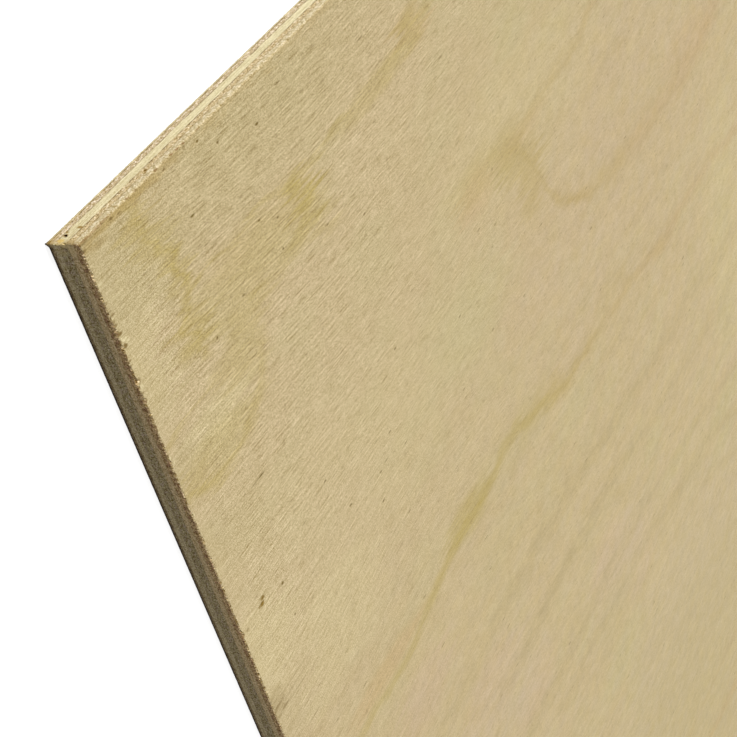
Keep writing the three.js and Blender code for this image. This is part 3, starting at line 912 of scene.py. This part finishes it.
def makeSawnEdge(name, ply, bottom, top):
    material = bpy.data.materials.new(name)
    tree = startShading(material)
    place = addPlace(tree)
    along, across, height = addNode(tree, "split", [place]).node.outputs
    fromEnd, fromSide = addCutDistances(tree, along, across)
    endCut = addNode(tree, "less_than", [fromEnd, fromSide])
    sideCut = addNode(tree, "subtract", [1.0, endCut])

    # the streaks along the grain and the speckle across it
    endBrightness = addBrightness(tree, place, edgeSizes["endGrain"])
    longBrightness = addBrightness(tree, place, edgeSizes["longGrain"])
    smoothCut, roughCut = (sideCut, endCut) if ply["along"] else (endCut, sideCut)
    acrossGrain = addNode(tree, "multiply_add", [smoothCut, ply["speckled"], roughCut])
    brightness = addNode(tree, "mix", [acrossGrain, longBrightness, endBrightness])
    paling = addNode(tree, "range", [along, *edgeSizes["paling"]])
    brightness = addNode(tree, "add", [brightness, paling])
    contrast = addNode(tree, "multiply_add", [endCut, edgeSizes["endContrast"] - 1, 1.0])
    brightness = addNode(tree, "add", [brightness, -1.0])
    brightness = addNode(tree, "multiply_add", [brightness, contrast, 1.0])

    # its colour, with blotches of a second one and a rim at the face that is painted light and
    # shade
    cutColours = [addNode(tree, "mixColours", [endCut, ply["side" + part], ply["end" + part]])
                  for part in ("Colour", "Blotch", "PaintedRim") if "side" + part in ply]
    blotch = addStreaks(tree, place, *edgeSizes["blotches"], 2.0)
    blotch = addNode(tree, "smoothRange", [blotch, *edgeSizes["blotchShare"]])
    blotch = addNode(tree, "multiply", [blotch, acrossGrain])
    colour = addNode(tree, "mixColours", [blotch, cutColours[0], cutColours[1]])
    if ply["face"]:
        fromFace = addNode(tree, "add", [height, -(top if ply["up"] else bottom)])
        fromFace = addNode(tree, "absolute", [fromFace])
        hairs = addStreaks(tree, place, *edgeSizes["hairs"], 2.0)
        fromFace = addNode(tree, "multiply_add", [hairs, -2 * ply["rimFray"], fromFace])
        rimEnds = [end - ply["rimFray"] for end in ply["rim"]]
        rim = addNode(tree, "smoothRange", [fromFace, *rimEnds, ply["rimStrength"], 0.0])
        colour = addNode(tree, "mixColours", [rim, colour, cutColours[2]])
    colour = addShading(tree, colour, brightness)

    # the open pores and torn cells
    pit = addStrewnSpots(tree, place, edgeSizes["pits"])
    pit = addNode(tree, "multiply", [pit, acrossGrain])
    colour = addNode(tree, "mixColours", [pit, colour, edgeSizes["pit"]])

    # half of each glue line, which comes and goes along the edge
    lines = []
    for level, side in ((bottom, "glueBelow"), (top, "glueAbove")):
        away = addNode(tree, "add", [height, -level])
        away = addNode(tree, "absolute", [away])
        lines.append(addNode(tree, "smoothRange", [away, *edgeSizes["glueFade"], ply[side], 0.0]))
    glue = addNode(tree, "maximum", lines)
    gaps = addStreaks(tree, place, *edgeSizes["glueGaps"], 2.0)
    gaps = addNode(tree, "range", [gaps, *edgeSizes["glueShare"]])
    gaps = addNode(tree, "mix", [endCut, gaps, edgeSizes["endGlue"]])
    glue = addNode(tree, "multiply", [glue, gaps])
    colour = addNode(tree, "mixColours", [glue, colour, edgeSizes["glue"]])

    # the painted shade where bits have come off the arris of the face, and the marks by the near
    # corner, among which the holes are painted shade; the far edges have none, so there they are
    # out of reach
    roundCorner = addNode(tree, "subtract", [along, across])
    isFar = addNode(tree, "minimum", [along, across])
    isFar = addNode(tree, "greater_than", [isFar, edgeSizes["markDepth"]])
    roundCorner = addNode(tree, "multiply_add", [isFar, 2 * sheetLength, roundCorner])
    markPlace = addNode(tree, "join", {"X": roundCorner, "Y": height})
    marksOfShades = cornerMarks
    if ply["face"] and ply["up"]:
        chipShades = [edgeNotch(notch, top) for notch in rimMarks["gapShade"]]
        marksOfShades = {"chipShade": chipShades, **cornerMarks}
    colour, inHoleShades = addShades(tree, colour, markPlace, marksOfShades, edgeSizes)
    # the painted shade of the holes has no sheen
    sheen = addNode(tree, "multiply_add", [inHoleShades, -edgeSizes["specular"], edgeSizes["specular"]])

    bump = addNode(tree, "ShaderNodeBump", {
        "Height": brightness, "Distance": edgeSizes["relief"] * mm})
    shader = addNode(tree, "ShaderNodeBsdfPrincipled", {
        "Base Color": colour, "Roughness": edgeSizes["roughness"], "Specular IOR Level": sheen,
        "Normal": bump})
    addNode(tree, "ShaderNodeOutputMaterial", {"Surface": shader})
    return material


outline = makeOutline()
print("outline:", len(outline.vertices), "stations")
plyTree = makePlyTree()

sandedFace = makeSandedFace("sanded rotary-cut birch", True)
plainBack = makeSandedFace("sanded rotary-cut birch, back grade", False)
print("faces: sanded")

# Rows of the wall, the way the grain runs, whether it has a face (and how torn that is) and
# which way up, how far the tearing reaches from the face, how far the end and side arrises are
# worn back and over what depth, how far the speckle of the end grain shows on the smooth cut,
# colours, and the material slot.
plies = {
    "face_veneer": {
        "rows": 8, "along": 1, "face": 1, "up": 1, "slot": "face_birch", "tornDrop": 0.42,
        "wear": (0.15, 0.03, 0.22), "pitted": 1, "speckled": 0.8,
        "sideColour": "#B9A880", "endColour": "#CDAE7C",
        "sideBlotch": "#DCCDAC", "endBlotch": "#92684A", "glueBelow": 0.2, "glueAbove": 0.0,
        # painted light: the darker rim at the top of the side cut is painted shade, and the paler
        # one at the top of the end cut is a painted highlight, partly also pale torn fibres
        "rim": (0.06, 0.34), "rimFray": 0.16, "rimStrength": 0.75,
        "sidePaintedRim": "#AE9A6C", "endPaintedRim": "#CBB888"},
    "upper_crossband": {
        "rows": 7, "along": 0, "face": 0, "up": 1, "slot": "crossband_birch", "tornDrop": 0.7,
        "wear": (0, 0, 0.2), "pitted": 1, "speckled": 0.65,
        "sideColour": "#B8A276", "endColour": "#D8BE8F",
        "sideBlotch": "#D2C09C", "endBlotch": "#C9B184", "glueBelow": 1.0, "glueAbove": 0.65},
    "centre_core": {
        "rows": 9, "along": 1, "face": 0, "up": 1, "slot": "core_birch", "tornDrop": 0.7,
        "wear": (0, 0, 0.2), "pitted": 1, "speckled": 0.1,
        "sideColour": "#D1C49B", "endColour": "#AE9E73",
        "sideBlotch": "#DCC98C", "endBlotch": "#B49F86", "glueBelow": 0.7, "glueAbove": 0.4},
    "lower_crossband": {
        "rows": 7, "along": 0, "face": 0, "up": 1, "slot": "crossband_birch", "tornDrop": 0.7,
        "wear": (0, 0, 0.2), "pitted": 1, "speckled": 0.65,
        "sideColour": "#B7A27C", "endColour": "#CDBC90",
        "sideBlotch": "#DECEB2", "endBlotch": "#BCA688", "glueBelow": 1.0, "glueAbove": 0.7},
    "back_veneer": {
        "rows": 6, "along": 1, "face": 0.1, "up": 0, "slot": "back_birch", "tornDrop": 0.5,
        "wear": (0, 0.26, 0.5), "pitted": 0.25, "speckled": 0.6,
        "sideColour": "#D6C698", "endColour": "#A08A62",
        "sideBlotch": "#CEBE94", "endBlotch": "#5E4A30", "glueBelow": 0.0, "glueAbove": 0.6,
        # painted shade: the rim along the floor is a painted shadow, near black on the end cut and
        # darker on the side cut
        "rim": (0.2, 0.5), "rimFray": 0.1, "rimStrength": 0.95,
        "sidePaintedRim": "#BFAC7A", "endPaintedRim": "#2C2012"},
}
for seed, (node, ply) in enumerate(plies.items()):
    low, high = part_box(node)
    edgeName = "sawn birch edge, " + node.replace("_", " ")
    edgeFinish = makeSawnEdge(edgeName, ply, low.z / mm, high.z / mm)
    endWear, sideWear, bevelDrop = ply["wear"]
    piece = grow(node + "_sawn", outline, plyTree, {
        "Bottom": low.z, "Top": high.z, "Rows": ply["rows"],
        "Row Crowding": plySizes["rowCrowding"] if ply["face"] else 1.0,
        "Face Up": float(ply["up"]), "Has Face": float(ply["face"] > 0),
        "Grain Along Sheet": float(ply["along"]), "Saw Relief": plySizes["sawRelief"],
        "End Grain Pits": plySizes["endGrainPits"] * ply["pitted"],
        "Torn Drop": ply["tornDrop"] * mm, "Splinter Width": plySizes["splinterWidth"],
        "Splinter Tear": plySizes["splinterTear"] * ply["face"],
        "Flake Tear": plySizes["flakeTear"] * ply["up"],
        "End Wear": endWear, "Side Wear": sideWear, "Bevel Drop": bevelDrop * mm,
        "Lip Whole": plySizes["lipWhole"] * plySizes["lipTop"] * mm,
        "Lip Top": plySizes["lipTop"] * mm, "Sliver Length": plySizes["sliverLength"],
        "Sliver Tear": plySizes["sliverTear"] * ply["face"],
        "Pin Hole": nearCorner + Vector(plySizes["pinHole"]) * mm,
        "Pin Hole Radius": plySizes["pinHoleRadius"] * mm,
        "Pin Hole Depth": plySizes["pinHoleDepth"], "Seed": plySizes["seedStep"] * seed,
        "Edge Finish": edgeFinish, "Face Finish": sandedFace if ply["up"] else plainBack})
    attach(piece, "root")
    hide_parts(node)


# Fibres torn loose at the arrises of the face. Those at the ends are short and point every
# way; those at the sides are slivers that lie along the cut.
fibreSizes = {
    "endSpacing": 3.0, "endLength": (0.03, 0.4), "endSpread": (0.25, 0.7, 0.6),
    "sideSpacing": 1.9, "sideLength": (0.6, 2.2), "sideSpread": (0.1, 0.1, 0.12),
    "sideLean": 0.06,  # how far a sliver leans out of the side cut, for each mm along it
    "strayLow": (-1, -1, -1), "strayHigh": (1, 1, 0.4),  # they stray down more than up
    "lengthChance": 2.2,  # the higher, the fewer are long
    "radius": 0.045,
    "rootDepth": 0.3,  # how far inside the wood a fibre starts at the ends
    "sideDepth": 0.08,  # and at the sides
    "drop": 0.35,  # how far below the face the lowest ones leave the edge
    "sides": 4,
    "firstSeed": 5, "seedStep": 10,
}


# Lines just inside the arrises of the face, with the way the loose fibres point.
def makeArrisLines(name, legs, height):
    mesh = bpy.data.meshes.new(name)
    points = [Vector((*end, height)) * mm for leg in legs for end in leg[:2]]
    mesh.from_pydata(points, [(i, i + 1) for i in range(0, len(points), 2)], [])
    ways = [c for leg in legs for _ in range(2) for c in leg[2]]
    mesh.attributes.new("way", "FLOAT_VECTOR", "POINT").data.foreach_set("vector", ways)
    return mesh


def makeFibreTree():
    tree, given = startGeometry("tornFibres", {
        "Geometry": ["Arrises"], "Float": ["Spacing", "Shortest", "Longest", "Radius", "Drop"],
        "Vector": ["Spread"], "Int": ["Sides", "Seed"], "Material": ["Finish"]}, "Fibres")
    curve = addNode(tree, "GeometryNodeMeshToCurve", {"Mesh": given["Arrises"]})
    points = addNode(tree, "GeometryNodeCurveToPoints",
                     {"Curve": curve, "Length": given["Spacing"]}, mode="LENGTH")
    aimSeed, lengthSeed = [addNode(tree, "add", [given["Seed"], step]) for step in (1.0, 2.0)]

    # each root slides a little along its arris and down the edge
    chance = addNode(tree, "random", {"Seed": given["Seed"]}, data_type="FLOAT_VECTOR")
    slideChance, sinkChance, _ = addNode(tree, "split", [chance]).node.outputs
    slide = addNode(tree, "multiply", [slideChance, given["Spacing"]])
    slide = addNode(tree, "vector scale", [points.node.outputs["Tangent"], slide])
    sink = addNode(tree, "multiply", [sinkChance, -1.0])
    sink = addNode(tree, "multiply", [sink, given["Drop"]])
    sunk = addNode(tree, "join", {"Z": sink})
    slide = addNode(tree, "vector add", [slide, sunk])
    points = addNode(tree, "move", {"Geometry": points, "Offset": slide})

    # and points its own way, more or less far out
    way = addNode(tree, "attribute", {"Name": "way"}, data_type="FLOAT_VECTOR")
    stray = addNode(tree, "random", {"Min": fibreSizes["strayLow"], "Max": fibreSizes["strayHigh"],
                                     "Seed": aimSeed}, data_type="FLOAT_VECTOR")
    stray = addNode(tree, "vector multiply", [stray, given["Spread"]])
    aim = addNode(tree, "vector add", [way, stray])
    turn = addNode(tree, "FunctionNodeAlignRotationToVector", {"Vector": aim}, axis="Z")
    length = addNode(tree, "random", {"Seed": lengthSeed}, "Value", data_type="FLOAT")
    length = addNode(tree, "power", [length, fibreSizes["lengthChance"]])
    length = addNode(tree, "range", [length, None, None, given["Shortest"], given["Longest"]])
    size = addNode(tree, "join", [given["Radius"], given["Radius"], length])
    fibre = addNode(tree, "GeometryNodeMeshCone", {
        "Vertices": given["Sides"], "Radius Top": 0.0, "Radius Bottom": 1.0, "Depth": 1.0})
    fibres = addNode(tree, "GeometryNodeInstanceOnPoints", {
        "Points": points, "Instance": fibre, "Rotation": turn, "Scale": size})
    real = addNode(tree, "GeometryNodeRealizeInstances", {"Geometry": fibres})
    finished = addNode(tree, "dress", {"Geometry": real, "Material": given["Finish"]})
    addNode(tree, "NodeGroupOutput", {"Fibres": finished})
    return tree


fibreTree = makeFibreTree()
rootDepth, lean = fibreSizes["rootDepth"], fibreSizes["sideLean"]
endX, sideY = halfLength - rootDepth, halfWidth - fibreSizes["sideDepth"]
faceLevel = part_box("face_veneer")[1].z / mm - fibreSizes["radius"]
arrises = {  # from, to, the way that the fibres point
    "end": [((-endX, sideY), (-endX, -sideY), (-1, 0, 0)),
            ((endX, -sideY), (endX, sideY), (1, 0, 0))],
    "side": [((-endX, sideY), (endX, sideY), (1, lean, 0)),
             ((-endX, -sideY), (endX, -sideY), (1, -lean, 0))],
}
for order, (edge, legs) in enumerate(arrises.items()):
    shortest, longest = fibreSizes[edge + "Length"]
    fibres = grow(edge + "_fibres", makeArrisLines(edge + "Arrises", legs, faceLevel), fibreTree, {
        "Spacing": fibreSizes[edge + "Spacing"] * mm, "Shortest": (shortest + rootDepth) * mm,
        "Longest": (longest + rootDepth) * mm, "Spread": fibreSizes[edge + "Spread"],
        "Radius": fibreSizes["radius"] * mm, "Drop": fibreSizes["drop"] * mm,
        "Sides": fibreSizes["sides"], "Finish": sandedFace,
        "Seed": fibreSizes["firstSeed"] + fibreSizes["seedStep"] * order})
    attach(fibres, "root")


# The floor, the light and the camera.
stageSizes = {
    "floorSize": 12000,
    "floorDrop": 0.02,  # how far the floor lies below the sheet
    "floorBounce": 0.25,  # what the floor gives back to the wood
    "floorShade": 0.28, "floorGlow": 0.86,  # what the eye sees of it, with and without shadow
    "skyLight": 0.3,
    "keyElevation": 37,  # degrees above the floor
    "keyAzimuth": 8,  # degrees from across the sheet towards its far end
    "keySoftness": 18,
    "keyStrength": 0.7,
    "sensor": 36, "lens": 72.731, "clipStart": 10,
    "eye": (-121.430, 98.4876, 142.515),  # from the near corner
    "eyeRight": (0.45717454, -0.22753757, 0.85977793),
    "eyeUp": (0.62282962, 0.77200165, -0.12687284),
}


# Shows one shader or background to the eye and in gloss and glass, and lights the object by
# the other.
def addSeenAndLit(tree, lit, seen):
    path = addNode(tree, "ShaderNodeLightPath").node.outputs
    plain = addNode(tree, "maximum", [path["Is Camera Ray"], path["Is Glossy Ray"]])
    plain = addNode(tree, "maximum", [plain, path["Is Transmission Ray"]])
    return addNode(tree, "ShaderNodeMixShader", [plain, lit, seen])


# White paper, rolled: matt, and so pale that only the shadow tells it from the background.
def makeStage():
    half = stageSizes["floorSize"] * mm / 2
    mesh = bpy.data.meshes.new("floor")
    mesh.from_pydata([(-half, -half, 0), (half, -half, 0), (half, half, 0), (-half, half, 0)], [],
                     [(0, 1, 2, 3)])
    floor = bpy.data.objects.new("floor", mesh)
    bpy.context.scene.collection.objects.link(floor)
    floor.location.z = -stageSizes["floorDrop"] * mm
    paper = bpy.data.materials.new("white paper")
    tree = startShading(paper)
    bounce, shadowed = [
        addNode(tree, "ShaderNodeBsdfDiffuse", {"Color": [stageSizes[part]] * 3 + [1]})
        for part in ("floorBounce", "floorShade")]
    glow = addNode(tree, "ShaderNodeEmission", {"Strength": stageSizes["floorGlow"]})
    seen = addNode(tree, "ShaderNodeAddShader", [shadowed, glow])
    surface = addSeenAndLit(tree, bounce, seen)
    addNode(tree, "ShaderNodeOutputMaterial", {"Surface": surface})
    mesh.materials.append(paper)


def makeLight():
    world = bpy.data.worlds.new("studio")
    bpy.context.scene.world = world
    tree = startShading(world)
    sky, white = [
        addNode(tree, "ShaderNodeBackground", {"Color": "#FFFFFF", "Strength": strength})
        for strength in (stageSizes["skyLight"], 1.0)]
    addNode(tree, "ShaderNodeOutputWorld", {"Surface": addSeenAndLit(tree, sky, white)})

    key = bpy.data.lights.new("key", "SUN")
    key.angle = math.radians(stageSizes["keySoftness"])
    elevation = math.radians(stageSizes["keyElevation"])
    azimuth = math.radians(stageSizes["keyAzimuth"])
    key.energy = math.pi * stageSizes["keyStrength"] / math.sin(elevation)
    lamp = bpy.data.objects.new("key", key)
    bpy.context.scene.collection.objects.link(lamp)
    towards = Vector((math.sin(azimuth) * math.cos(elevation),
                      math.cos(azimuth) * math.cos(elevation), math.sin(elevation)))
    lamp.rotation_euler = towards.to_track_quat("Z", "Y").to_euler()


# The camera stands close over the near corner, on its side, and looks along the sheet.
def makeCamera():
    camera = bpy.data.objects.new("camera", bpy.data.cameras.new("camera"))
    camera.data.sensor_width = stageSizes["sensor"]
    camera.data.lens = stageSizes["lens"]
    camera.data.clip_start = stageSizes["clipStart"] * mm
    right, up = Vector(stageSizes["eyeRight"]), Vector(stageSizes["eyeUp"])
    axes = Matrix((right, up, right.cross(up))).transposed().to_4x4()
    eye = nearCorner + Vector(stageSizes["eye"]) * mm
    camera.matrix_world = Matrix.Translation(eye) @ axes
    bpy.context.scene.collection.objects.link(camera)
    bpy.context.scene.camera = camera


makeStage()
makeLight()
makeCamera()
bpy.context.scene.view_settings.view_transform = "Standard"
print("stage: floor, light and camera")
